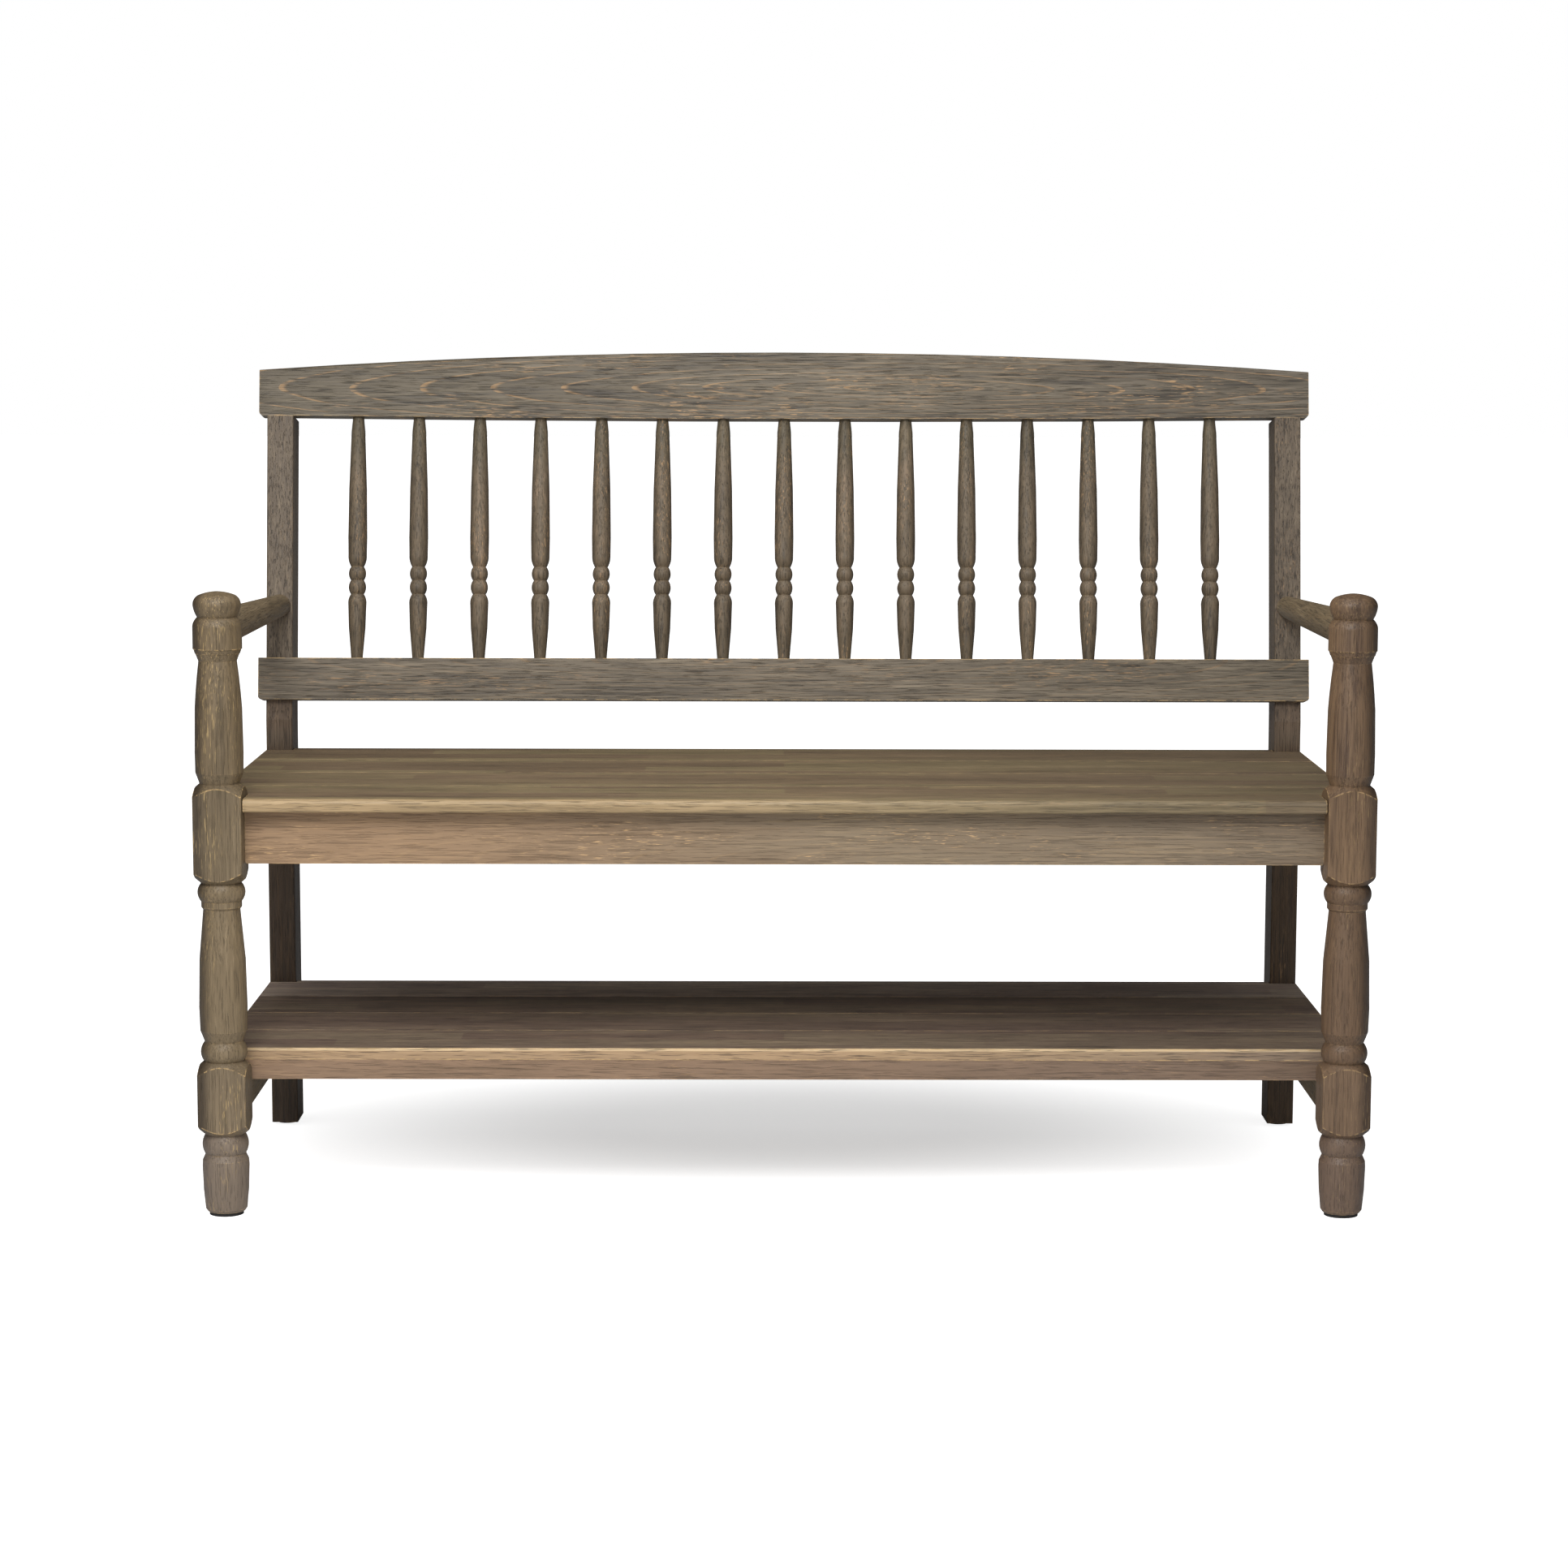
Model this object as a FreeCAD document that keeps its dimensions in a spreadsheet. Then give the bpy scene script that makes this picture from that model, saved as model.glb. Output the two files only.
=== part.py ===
import FreeCAD, Part
import math
import os
from types import SimpleNamespace

import Sketcher
from FreeCAD import Rotation, Vector

# A deacons bench in solid wood. Two turned front legs and two raked rear legs carry a boarded seat and a
# boarded shelf on tenoned rails. Fifteen turned spindles stand between a lower back rail, lapped over the
# rear legs, and a bowed crest rail that sits on top of them. A tapered round rod joins the legs at each arm.
# X runs along the bench, Y runs from the sitter's knees to the back, and Z runs up from the floor.

DRIVING_SIZES = [
    # Plan of the frame
    ("front_leg_centres", 1255.0, "between the axes of the front legs"),
    ("rear_leg_inset", 5.1, "rear leg centre inside the front leg axis"),
    ("frame_depth", 456.0, "front leg axis to the front face of a rear leg"),
    ("glide_thickness", 4.0, "foot glide under each leg"),
    # Fits
    ("fit_gap", 0.15, "clearance round a tenon, a dowel end or a pin"),
    ("notch_gap", 1.0, "clearance of a board round a leg"),
    ("board_gap", 0.3, "joint between two boards"),
    # Front leg stock
    ("leg_square", 54.0, "side of the square stock of a front leg"),
    ("leg_arris", 1.6, "rounding of the stock's long edges"),
    ("shoulder_height", 13.5, "turned shoulder between a neck and a square block"),
    ("lower_block_length", 83.3, "lower square block, neck to neck"),
    ("upper_block_length", 111.5, "upper square block, neck to neck"),
    # Rear legs
    ("rear_leg_width", 32.2, "rear leg along the bench"),
    ("rear_leg_depth", 54.0, "rear leg, front to back, below the bend"),
    ("rear_leg_top_depth", 54.0, "rear leg, front to back, under the crest rail"),
    ("rear_leg_arris", 1.6, "rounding of the rear leg's front edges"),
    ("bend_above_seat", 37.0, "bend of the rear leg above the seat"),
    ("bend_reach", 30.0, "rounding of the bend at the back, from the bend up and down"),
    ("leg_rake_angle", 8.0, "lean of the rear leg above its bend, in degrees"),
    ("raked_length", 376.5, "bend to the crest rail along the leg's face"),
    ("post_tenon_width", 17.0, "top tenon of the rear leg along the bench"),
    ("post_tenon_depth", 12.0, "top tenon of the rear leg, front to back"),
    ("post_tenon_height", 32.0, "top tenon of the rear leg into the crest rail"),
    # Back
    ("back_lean_angle", 9.7, "lean of the spindles and back rails, in degrees"),
    ("crest_thickness", 26.0, "crest rail, front to back"),
    ("crest_end_height", 57.0, "crest rail at its ends"),
    ("crest_middle_height", 80.0, "crest rail in the middle of its bow"),
    ("crest_overhang", 10.0, "crest rail past the rear legs"),
    ("crest_belly", 3.0, "bow of the crest rail's lower edge between the rear legs"),
    ("crest_corner", 5.0, "rounding of the crest rail's lower corners"),
    ("crest_round", 3.0, "rounding along the crest rail's top"),
    ("back_rail_height", 51.4, "lower back rail"),
    ("back_rail_thickness", 28.0, "lower back rail, front to back"),
    ("back_rail_overhang", 8.5, "lower back rail past the rear legs"),
    ("back_rail_corner", 4.0, "rounding of the lower back rail's ends"),
    # Spindles
    ("spindle_end_margin", 79.2, "rear leg to the axis of the first spindle"),
    ("spindle_socket_depth", 16.0, "spindle end inside each back rail"),
    # Arms
    ("arm_below_collar", 2.5, "front end of the arm below the top of the collar"),
    ("arm_fall", 10.0, "fall of the arm from front to back"),
    ("arm_front_diameter", 42.0, "arm at the front leg"),
    ("arm_rear_diameter", 27.0, "arm at the rear leg"),
    ("arm_dowel_diameter", 16.0, "round tenon at each end of the arm"),
    ("arm_dowel_length", 17.0, "round tenon inside each leg"),
    # Seat
    ("seat_drop", 15.5, "seat surface below the neck above the upper block"),
    ("seat_thickness", 15.0, "seat boards"),
    ("seat_nose", 22.0, "front edge of the seat before the front leg axis"),
    ("seat_rear_lap", 21.0, "seat past the front face of the rear legs"),
    ("seat_nose_top_round", 6.0, "rounding over the front edge of the seat"),
    ("seat_nose_under_round", 3.0, "rounding under the front edge of the seat"),
    ("board_bevel", 0.8, "bevel along the board joints"),
    ("seat_rail_height", 60.0, "rails under the seat"),
    ("seat_rail_thickness", 20.0, "rails under the seat"),
    ("apron_setback", 0.5, "apron behind the front leg axis"),
    ("apron_corner", 3.0, "rounding of the apron's lower corners"),
    # Shelf
    ("shelf_drop", 6.3, "underside of the shelf below the neck over the lower block"),
    ("shelf_thickness", 13.0, "shelf boards"),
    ("shelf_front_gap", 8.0, "shelf behind the front legs"),
    ("shelf_rear_lap", 11.5, "shelf past the front face of the rear legs"),
    ("shelf_side_rail_height", 66.0, "rails between front and rear legs under the shelf"),
    ("shelf_rail_height", 22.5, "long rails under the shelf"),
    ("shelf_rail_thickness", 20.0, "all rails under the shelf"),
    ("shelf_back_rail_gap", 6.0, "shelf back rail before the rear legs"),
    # Mortise and tenon joints
    ("tenon_thickness", 10.0, "tenons of all rails"),
    ("tenon_length", 15.0, "tenons in the legs"),
    ("stub_tenon_length", 8.0, "tenons in other rails"),
    ("tenon_height", 20.0, "tenons of the seat and shelf side rails"),
    ("tenon_shoulder", 8.0, "rail above or below its tenon"),
    ("stub_tenon_height", 12.0, "tenons of the long rails under the shelf"),
    ("stub_tenon_shoulder", 5.0, "rail above such a tenon"),
    # Glides
    ("front_glide_diameter", 38.0, "glide under a front leg"),
    ("rear_glide_diameter", 27.0, "glide under a rear leg"),
    ("glide_pin_diameter", 5.0, "pin of a glide"),
    ("glide_pin_length", 16.0, "pin of a glide inside the leg"),
]

# A turned outline runs upward. A step has a rise and the radius it ends at. A round step also has a bow,
# which is how far the outline swells out from the straight line between its ends.
FOOT_TURNING = [
    ("foot_edge", 3.0, 23.2),
    ("foot_taper", 22.0, 25.3),
    ("foot_belly", 27.0, 26.2),
    ("foot_shoulder", 6.5, 25.8),
    ("foot_neck", 7.0, 22.6),
    ("ankle_bead", 22.5, 22.4, 3.35),
]
STEM_TURNING = [
    ("ring_bead", 22.1, 21.3, 4.0),
    ("lower_vase_base", 12.6, 26.1),
    ("lower_vase_belly", 26.0, 26.9),
    ("lower_vase_body", 54.0, 25.7),
    ("lower_vase_top", 57.0, 20.6),
    ("lower_band_edge", 2.5, 22.6),
    ("lower_band", 6.3, 22.6),
    ("knee_bead", 20.7, 22.3, 4.1),
]
HEAD_TURNING = [
    ("upper_vase_base", 12.0, 26.6),
    ("upper_vase_belly", 22.0, 26.95),
    ("upper_vase_body", 50.0, 26.1),
    ("upper_vase_top", 52.0, 21.2, 0.4),
    ("upper_band", 8.0, 24.2),
    ("upper_band_lip", 0.6, 24.9),
    ("collar_cove", 4.4, 26.3),
    ("collar_lip", 0.6, 27.2),
    ("collar", 24.4, 27.2),
    ("collar_shoulder", 10.6, 21.9, 1.2),
    ("knob_base", 13.5, 26.5, 0.8),
    ("knob_crown", 10.7, 20.5, 1.7),
]
SPINDLE_TURNING = [
    ("spindle_flare", 38.0, 10.3),
    ("spindle_foot", 29.0, 11.2),
    ("spindle_foot_shoulder", 12.8, 8.0, 1.2),
    ("spindle_lower_bead", 17.2, 8.0, 2.7),
    ("spindle_upper_bead", 16.8, 7.9, 2.7),
    ("spindle_vase_base", 14.3, 11.4, 1.1),
    ("spindle_vase_belly", 22.0, 11.75),
    ("spindle_vase_body", 60.0, 11.0),
    ("spindle_vase_top", 72.0, 8.5),
    ("spindle_tip", 13.4, 7.15),
    ("spindle_top", 4.5, 7.15),
]
TURNED_STARTS = [
    ("foot_base_radius", 21.0, "bottom of the front leg"),
    ("ankle_radius", 22.4, "neck under the lower block"),
    ("ring_neck_radius", 22.4, "neck over the lower block"),
    ("knee_radius", 22.3, "neck under the upper block"),
    ("seat_neck_radius", 22.3, "neck over the upper block"),
    ("knob_dome_height", 4.3, "flat dome on top of the knob"),
    ("knob_dome_bow", 1.0, "bow of that dome"),
    ("spindle_end_radius", 7.1, "spindle where it enters the lower back rail"),
]

SPINDLE_COUNT = 15
SEAT_BOARD_COUNT = 4
SHELF_BOARD_COUNT = 4
SIDES = (("left", -1), ("right", 1))
SHEET_NAME = "sizes"
CUTTER_MARGIN = 6.0
ROOT_OVERLAP = 1.0


class Size:
    """A number together with the formula that ties it to the sheet of sizes."""

    def __init__(self, value, text):
        self.value = value
        self.text = text

    def __add__(self, other):
        other = as_size(other)
        return Size(self.value + other.value, f"({self.text} + {other.text})")

    def __sub__(self, other):
        other = as_size(other)
        return Size(self.value - other.value, f"({self.text} - {other.text})")

    def __mul__(self, other):
        other = as_size(other)
        return Size(self.value * other.value, f"({self.text} * {other.text})")

    def __truediv__(self, other):
        other = as_size(other)
        return Size(self.value / other.value, f"({self.text} / {other.text})")

    def __radd__(self, other):
        return as_size(other) + self

    def __rsub__(self, other):
        return as_size(other) - self

    def __rmul__(self, other):
        return as_size(other) * self

    def __neg__(self):
        return self * -1

    def sine(self):
        return Size(math.sin(math.radians(self.value)), f"sin({self.text} * 1 deg)")

    def cosine(self):
        return Size(math.cos(math.radians(self.value)), f"cos({self.text} * 1 deg)")

    def tangent(self):
        return self.sine() / self.cosine()

    def arctangent(self):
        return Size(math.degrees(math.atan(self.value)), f"(atan({self.text}) / 1 deg)")


def as_size(value):
    return value if isinstance(value, Size) else Size(float(value), f"({float(value)})")


doc = FreeCAD.newDocument("deacons_bench")
sheet = doc.addObject("Spreadsheet::Sheet", SHEET_NAME)
size = SimpleNamespace()
parts = []


def fill_sheet():
    rows = list(DRIVING_SIZES) + list(TURNED_STARTS)
    for step, rise, radius, *bow in FOOT_TURNING + STEM_TURNING + HEAD_TURNING + SPINDLE_TURNING:
        rows.append((step + "_rise", rise, "turned step, along the axis"))
        rows.append((step + "_radius", radius, "turned step, radius at its upper end"))
        rows.extend((step + "_bow", swell, "turned step, swell between its ends") for swell in bow)
    for number, (name, value, note) in enumerate(rows, start=1):
        sheet.set(f"A{number}", name)
        sheet.set(f"B{number}", str(value))
        sheet.set(f"C{number}", note)
        sheet.setAlias(f"B{number}", name)
        setattr(size, name, Size(value, f"{SHEET_NAME}.{name}"))
    doc.recompute()


def rise_of(turning):
    total = as_size(0)
    for step in turning:
        total = total + getattr(size, step[0] + "_rise")
    return total


fill_sheet()

# Places worked out from the driving sizes
front_x = size.front_leg_centres / 2
rear_x = front_x - size.rear_leg_inset
leg_half = size.leg_square / 2
leg_corner = size.leg_square * math.sqrt(0.5)
rear_half = size.rear_leg_width / 2
rear_face = size.frame_depth

leg_base = size.glide_thickness
ankle_level = leg_base + rise_of(FOOT_TURNING)
ring_neck_level = ankle_level + size.lower_block_length
knee_level = ring_neck_level + rise_of(STEM_TURNING)
seat_neck_level = knee_level + size.upper_block_length
crown_level = seat_neck_level + rise_of(HEAD_TURNING)
leg_top = crown_level + size.knob_dome_height
collar_top = crown_level - size.knob_crown_rise - size.knob_base_rise - size.collar_shoulder_rise

seat_top = seat_neck_level - size.seat_drop
seat_under = seat_top - size.seat_thickness
seat_front = -size.seat_nose
seat_rear = rear_face + size.seat_rear_lap
board_half = rear_x + rear_half
shelf_under = ring_neck_level - size.shelf_drop
shelf_front = leg_half + size.shelf_front_gap
shelf_rear = rear_face + size.shelf_rear_lap

bend_level = seat_top + size.bend_above_seat
crest_y = rear_face + size.raked_length * size.leg_rake_angle.sine()
crest_z = bend_level + size.raked_length * size.leg_rake_angle.cosine()
spindle_length = rise_of(SPINDLE_TURNING)
spindle_spread = 2 * (rear_x - rear_half - size.spindle_end_margin)
spindle_plane = size.crest_thickness / 2
back_rail_front = spindle_plane - size.back_rail_thickness / 2

arm_front_level = collar_top - size.arm_below_collar
arm_rear_level = arm_front_level - size.arm_fall
arm_rear_face = rear_face + (arm_rear_level - bend_level) * size.leg_rake_angle.tangent()


def on_back(behind, up):
    """Place in the leaning plane of the back, from the crest rail's lower front edge, as Y and Z."""
    lean_sine = size.back_lean_angle.sine()
    lean_cosine = size.back_lean_angle.cosine()
    return (
        crest_y + behind * lean_cosine + up * lean_sine,
        crest_z - behind * lean_sine + up * lean_cosine,
    )


# The origin lies on the floor under the middle of the plan
leg_back_top = on_back(size.rear_leg_top_depth, 0)
plan_middle = (leg_back_top[0] - leg_half) / 2


def bind(thing, name, value):
    thing.setExpression(name, as_size(value).text)


def new_body(name, x=0, y=0, z=0, lean=None):
    body = doc.addObject("PartDesign::Body", name)
    body.Label = name
    if lean is not None:
        body.Placement.Rotation = Rotation(Vector(1, 0, 0), -lean.value)
        bind(body, "Placement.Rotation.Angle", -lean)
    for axis, place in (("x", x), ("y", y - plan_middle), ("z", z)):
        bind(body, "Placement.Base." + axis, place)
    parts.append(body)
    return body


def new_sketch(body, role, name, level=None):
    plane = next(feature for feature in body.Origin.OriginFeatures if feature.Role == role)
    sketch = body.newObject("Sketcher::SketchObject", f"{body.Name}_{name}")
    sketch.AttachmentSupport = [(plane, "")]
    sketch.MapMode = "FlatFace"
    if level is not None:
        bind(sketch, "AttachmentOffset.Base.z", level)
    return sketch


def hold(sketch, kind, value, *where):
    index = sketch.addConstraint(Sketcher.Constraint(kind, *where, value.value))
    sketch.setExpression(f"Constraints[{index}]", value.text)


def arc_between(start, end, rise):
    """Arc through two points that rises to the left of the way from start to end."""
    chord = end.sub(start)
    to_left = Vector(-chord.y, chord.x, 0).normalize()
    middle = (start + end) * 0.5
    radius = chord.Length ** 2 / (8 * abs(rise)) + abs(rise) / 2
    toward_centre = -1 if rise > 0 else 1
    centre = middle + to_left * (toward_centre * (radius - abs(rise)))
    first, last = (start, end) if rise < 0 else (end, start)
    first_angle = math.atan2(first.y - centre.y, first.x - centre.x)
    last_angle = math.atan2(last.y - centre.y, last.x - centre.x)
    if last_angle <= first_angle:
        last_angle += 2 * math.pi
    return Part.ArcOfCircle(Part.Circle(centre, Vector(0, 0, 1), radius), first_angle, last_angle)


def outline(sketch, corners):
    """Closed outline. A corner is (x, y) or (x, y, rise), where rise bows the edge that leaves it."""
    corners = [tuple(as_size(value) for value in corner) for corner in corners]
    edges = []
    for here, there in zip(corners, corners[1:] + corners[:1]):
        start = Vector(here[0].value, here[1].value, 0)
        end = Vector(there[0].value, there[1].value, 0)
        if len(here) == 3 and here[2].value != 0:
            rise = here[2]
            index = sketch.addGeometry(arc_between(start, end, rise.value), False)
            across = there[0] - here[0]
            along = there[1] - here[1]
            depth = rise if rise.value > 0 else -rise
            radius = (across * across + along * along) / (8 * depth) + depth / 2
            edges.append((index, (2, 1) if rise.value > 0 else (1, 2), radius))
        else:
            index = sketch.addGeometry(Part.LineSegment(start, end), False)
            edges.append((index, (1, 2), None))
    for (index, ends, _), (following, following_ends, _) in zip(edges, edges[1:] + edges[:1]):
        sketch.addConstraint(Sketcher.Constraint("Coincident", index, ends[1], following, following_ends[0]))
    for (index, ends, radius), corner in zip(edges, corners):
        hold(sketch, "DistanceX", corner[0], index, ends[0])
        hold(sketch, "DistanceY", corner[1], index, ends[0])
        if radius is not None:
            hold(sketch, "Radius", radius, index)


def rectangle(sketch, left, right, low, high):
    outline(sketch, [(left, low), (right, low), (right, high), (left, high)])


def circle(sketch, x, y, diameter):
    x = as_size(x)
    y = as_size(y)
    round_edge = Part.Circle(Vector(x.value, y.value, 0), Vector(0, 0, 1), diameter.value / 2)
    index = sketch.addGeometry(round_edge, False)
    hold(sketch, "DistanceX", x, index, 3)
    hold(sketch, "DistanceY", y, index, 3)
    hold(sketch, "Diameter", diameter, index)


def extrude(body, kind, sketch, length, flipped=False, both_ways=False):
    feature = body.newObject("PartDesign::" + kind, f"{sketch.Name}_{kind.lower()}")
    feature.Profile = sketch
    feature.Reversed = flipped
    feature.Midplane = both_ways
    bind(feature, "Length", length)
    return feature


def pad(body, sketch, length, flipped=False, both_ways=False):
    return extrude(body, "Pad", sketch, length, flipped, both_ways)


def pocket(body, sketch, length, flipped=False, both_ways=False):
    return extrude(body, "Pocket", sketch, length, flipped, both_ways)


def revolve(body, kind, sketch, axis="V_Axis"):
    feature = body.newObject("PartDesign::" + kind, f"{sketch.Name}_{kind.lower()}")
    feature.Profile = sketch
    feature.ReferenceAxis = (sketch, [axis])
    feature.Angle = 360
    return feature


def soften(body, kind, base, names, amount):
    """Round or bevel the named edges of the last feature."""
    feature = body.newObject("PartDesign::" + kind, f"{body.Name}_{kind.lower()}_{len(body.Group)}")
    feature.Base = (base, names)
    bind(feature, "Radius" if kind == "Fillet" else "Size", amount)
    return feature


def edges_where(feature, accepts):
    doc.recompute()
    names = []
    for number, edge in enumerate(feature.Shape.Edges, start=1):
        middle = edge.valueAt((edge.FirstParameter + edge.LastParameter) / 2)
        run = edge.Vertexes[-1].Point.sub(edge.Vertexes[0].Point)
        if accepts(middle, run):
            names.append(f"Edge{number}")
    return names


def near(one, other):
    return abs(one - other) < 0.01


def runs_along_bench(run):
    return abs(run.x) > abs(run.y) + abs(run.z)


def runs_up(run):
    return abs(run.z) > abs(run.x) + abs(run.y)


def block(body, name, x_half, y_low, y_high, z_low, height):
    """Square-edged solid, level and centred on the body's X."""
    sketch = new_sketch(body, "XY_Plane", name, z_low)
    rectangle(sketch, -x_half, x_half, y_low, y_high)
    return pad(body, sketch, height)


def mortise(body, name, left, right, low, high, top, height):
    """Level slot cut down from its top, wider and deeper than its tenon by the fit."""
    sketch = new_sketch(body, "XY_Plane", name, top + size.fit_gap)
    rectangle(sketch, left, right, low, high)
    return pocket(body, sketch, height + 2 * size.fit_gap)


def turned_corners(turning, radius, level):
    """Corners of a turned outline that starts at this radius and level and runs upward."""
    corners = []
    for step, _, _, *bow in turning:
        swell = [-getattr(size, step + "_bow")] if bow else []
        corners.append((radius, level, *swell))
        radius = getattr(size, step + "_radius")
        level = level + getattr(size, step + "_rise")
    return corners, radius, level


def turning_cut(body, name, corners):
    sketch = new_sketch(body, "XZ_Plane", name)
    outline(sketch, corners)
    return revolve(body, "Groove", sketch)


# Front legs, turned between square blocks
def front_leg(side_name, side):
    leg = new_body(f"front_leg_{side_name}", x=side * front_x)
    stock = new_sketch(leg, "XY_Plane", "stock", leg_base)
    near_corner = leg_half - size.leg_arris
    rise = -size.leg_arris * (1 - math.sqrt(0.5))
    outline(stock, [
        (-near_corner, -leg_half), (near_corner, -leg_half, rise),
        (leg_half, -near_corner), (leg_half, near_corner, rise),
        (near_corner, leg_half), (-near_corner, leg_half, rise),
        (-leg_half, near_corner), (-leg_half, -near_corner, rise),
    ])
    pad(leg, stock, leg_top - leg_base)
    outside = leg_corner + CUTTER_MARGIN

    corners, radius, level = turned_corners(FOOT_TURNING, size.foot_base_radius, leg_base)
    turning_cut(leg, "foot", [(size.foot_base_radius, leg_base - CUTTER_MARGIN)] + corners + [
        (radius, level),
        (leg_corner, level + size.shoulder_height),
        (outside, level + size.shoulder_height),
        (outside, leg_base - CUTTER_MARGIN),
    ])

    corners, radius, level = turned_corners(STEM_TURNING, size.ring_neck_radius, ring_neck_level)
    turning_cut(leg, "stem", [
        (outside, ring_neck_level - size.shoulder_height),
        (leg_corner, ring_neck_level - size.shoulder_height),
    ] + corners + [
        (radius, level),
        (leg_corner, level + size.shoulder_height),
        (outside, level + size.shoulder_height),
    ])

    corners, radius, level = turned_corners(HEAD_TURNING, size.seat_neck_radius, seat_neck_level)
    turning_cut(leg, "head", [
        (outside, seat_neck_level - size.shoulder_height),
        (leg_corner, seat_neck_level - size.shoulder_height),
    ] + corners + [
        (radius, level, -size.knob_dome_bow),
        (0, leg_top),
        (0, leg_top + CUTTER_MARGIN),
        (outside, leg_top + CUTTER_MARGIN),
    ])

    # Slots for the apron, the seat side rail and the shelf side rail
    inner = -side
    half_slot = size.tenon_thickness / 2 + size.fit_gap
    slot_end = leg_half - size.tenon_length - size.fit_gap
    apron_middle = size.apron_setback + size.seat_rail_thickness / 2
    reach = leg_half + CUTTER_MARGIN
    mortise(
        leg, "apron_slot", inner * slot_end, inner * reach,
        apron_middle - half_slot, apron_middle + half_slot,
        seat_under - size.tenon_shoulder, size.tenon_height,
    )
    rail_x = -side * size.rear_leg_inset
    mortise(
        leg, "seat_rail_slot", rail_x - half_slot, rail_x + half_slot, slot_end, reach,
        seat_under - size.seat_rail_height + size.tenon_shoulder + size.tenon_height, size.tenon_height,
    )
    mortise(
        leg, "shelf_rail_slot", rail_x - half_slot, rail_x + half_slot, slot_end, reach,
        shelf_under - size.shelf_side_rail_height / 2 + size.tenon_height / 2, size.tenon_height,
    )

    # Round socket for the arm, open to the back
    socket_end = size.collar_radius - size.arm_dowel_length - size.fit_gap
    socket = new_sketch(leg, "XZ_Plane", "arm_socket", -socket_end)
    circle(socket, 0, arm_front_level, size.arm_dowel_diameter + 2 * size.fit_gap)
    pocket(leg, socket, size.arm_dowel_length + CUTTER_MARGIN)
    glide_hole(leg, 0)


def glide_hole(leg, y):
    hole = new_sketch(leg, "XY_Plane", "glide_hole", leg_base + size.glide_pin_length + size.fit_gap)
    circle(hole, 0, y, size.glide_pin_diameter + 2 * size.fit_gap)
    pocket(leg, hole, size.glide_pin_length + size.fit_gap + CUTTER_MARGIN)


# Rear legs, sawn with a bend above the seat
def rear_leg(side_name, side):
    leg = new_body(f"rear_leg_{side_name}", x=side * rear_x)
    back_face = rear_face + size.rear_leg_depth
    bend = ((leg_back_top[0] - back_face) / (leg_back_top[1] - bend_level)).arctangent()
    bend_rise = size.bend_reach * (bend / 2).cosine() * (bend / 4).tangent()
    side_view = new_sketch(leg, "YZ_Plane", "side_view")
    outline(side_view, [
        (rear_face, leg_base), (back_face, leg_base), (back_face, bend_level - size.bend_reach, bend_rise),
        (back_face + size.bend_reach * bend.sine(), bend_level + size.bend_reach * bend.cosine()),
        leg_back_top, on_back(0, 0), (rear_face, bend_level),
    ])
    blank = pad(leg, side_view, size.rear_leg_width, both_ways=True)

    def is_front_arris(middle, run):
        raked = max(0.0, middle.z - bend_level.value) * size.leg_rake_angle.tangent().value
        return near(middle.y, rear_face.value + raked) and runs_up(run)

    soften(leg, "Fillet", blank, edges_where(blank, is_front_arris), size.rear_leg_arris)

    # Tenon into the crest rail
    tenon = new_sketch(leg, "YZ_Plane", "top_tenon")
    first = spindle_plane - size.post_tenon_depth / 2
    last = spindle_plane + size.post_tenon_depth / 2
    outline(tenon, [
        on_back(first, -ROOT_OVERLAP), on_back(last, -ROOT_OVERLAP),
        on_back(last, size.post_tenon_height), on_back(first, size.post_tenon_height),
    ])
    pad(leg, tenon, size.post_tenon_width, both_ways=True)

    # Housing for the lower back rail
    housing = new_sketch(leg, "YZ_Plane", "rail_housing")
    housing_end = back_rail_front + size.back_rail_thickness
    rail_top = -spindle_length
    rail_base = rail_top - size.back_rail_height
    outline(housing, [
        on_back(back_rail_front - CUTTER_MARGIN, rail_base), on_back(housing_end, rail_base),
        on_back(housing_end, rail_top), on_back(back_rail_front - CUTTER_MARGIN, rail_top),
    ])
    pocket(leg, housing, size.rear_leg_width + CUTTER_MARGIN, both_ways=True)

    # Slots for the side rails in the front face and for the seat back rail in the inner face
    half_slot = size.tenon_thickness / 2 + size.fit_gap
    slot_end = rear_face + size.tenon_length + size.fit_gap
    mortise(
        leg, "seat_rail_slot", -half_slot, half_slot, rear_face - CUTTER_MARGIN, slot_end,
        seat_under - size.seat_rail_height + size.tenon_shoulder + size.tenon_height, size.tenon_height,
    )
    mortise(
        leg, "shelf_rail_slot", -half_slot, half_slot, rear_face - CUTTER_MARGIN, slot_end,
        shelf_under - size.shelf_side_rail_height / 2 + size.tenon_height / 2, size.tenon_height,
    )
    back_rail_middle = seat_rear - size.seat_rail_thickness / 2
    inner_end = rear_half - size.tenon_length - size.fit_gap
    mortise(
        leg, "back_rail_slot", -side * inner_end, -side * (rear_half + CUTTER_MARGIN),
        back_rail_middle - half_slot, back_rail_middle + half_slot,
        seat_under - size.tenon_shoulder, size.tenon_height,
    )

    # Round socket for the arm, open to the front
    socket_end = arm_rear_face + size.arm_dowel_length + size.fit_gap
    socket = new_sketch(leg, "XZ_Plane", "arm_socket", -socket_end)
    circle(socket, 0, arm_rear_level, size.arm_dowel_diameter + 2 * size.fit_gap)
    pocket(leg, socket, size.arm_dowel_length + 2 * CUTTER_MARGIN, flipped=True)
    glide_hole(leg, rear_face + size.rear_leg_depth / 2)


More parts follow.
